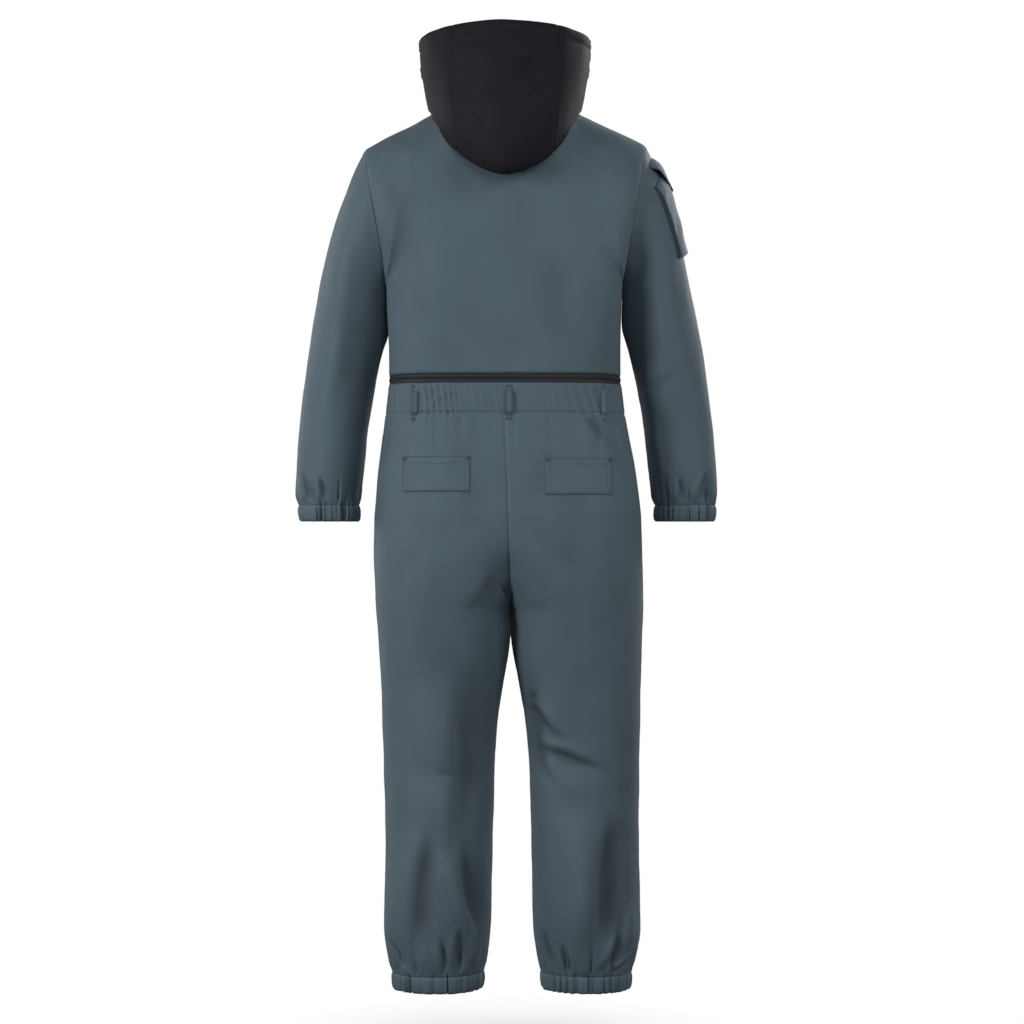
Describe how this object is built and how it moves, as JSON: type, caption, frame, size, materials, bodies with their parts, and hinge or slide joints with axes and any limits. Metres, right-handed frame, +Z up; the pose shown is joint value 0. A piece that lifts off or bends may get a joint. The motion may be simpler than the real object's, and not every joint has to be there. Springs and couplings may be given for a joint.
{
  "type": "hooded snowsuit",
  "caption": "Hollow snowsuit filled out as if worn, with a dropped hood, waist and front zips, belt loops, seat and sleeve pockets, and gathered cuffs and leg hems.",
  "frame": {"origin": "middle of the neck's base, where the garment hangs from the wearer's shoulders", "axes": "+Z up along the wearer, +X to the wearer's left, -Y to the front, so the back faces +Y"},
  "size_m": [0.7454, 0.3306, 1.6612],
  "materials": {
    "shell": "woven shell cloth, slate blue-grey, faint sheen",
    "hood_shell": "woven shell cloth, near black",
    "zip_tape": "zip tape and coil, near black",
    "zip_metal": "dark satin"
  },
  "bodies": {
    "suit": {"back_upper": "shell", "front_upper_left": "shell", "front_upper_right": "shell", "sleeve_left": "shell", "sleeve_right": "shell", "cuff_left": "shell", "cuff_right": "shell", "hood_centre": "hood_shell", "hood_side_left": "hood_shell", "hood_side_right": "hood_shell", "waist_zip": "zip_tape", "front_zip": "zip_tape", "front_zip_slider": "zip_metal", "waist_zip_slider": "zip_metal", "waistband_back": "shell", "waistband_front_left": "shell", "waistband_front_right": "shell", "trouser_back_left": "shell", "trouser_back_right": "shell", "trouser_front_left": "shell", "trouser_front_right": "shell", "leg_hem_left": "shell", "leg_hem_right": "shell", "belt_loop_left": "shell", "belt_loop_centre": "shell", "belt_loop_right": "shell", "back_pocket_left": "shell", "back_pocket_right": "shell", "sleeve_pocket": "shell", "sleeve_pocket_flap": "shell"},
    "front_pull": {"front_zip_pull": "zip_metal"},
    "waist_pull": {"waist_zip_pull": "zip_metal"}
  },
  "joints": [
    {"name": "front_pull_swing", "type": "hinge", "parent": "suit", "child": "front_pull", "pos_m": [0.0015, -0.11194, -0.08714], "axis": [-1, 0, 0], "range_deg": [0, 160]},
    {"name": "waist_pull_swing", "type": "hinge", "parent": "suit", "child": "waist_pull", "pos_m": [0.02165, -0.12101, -0.46], "axis": [0, 0, -1], "range_deg": [0, 150]}
  ]
}
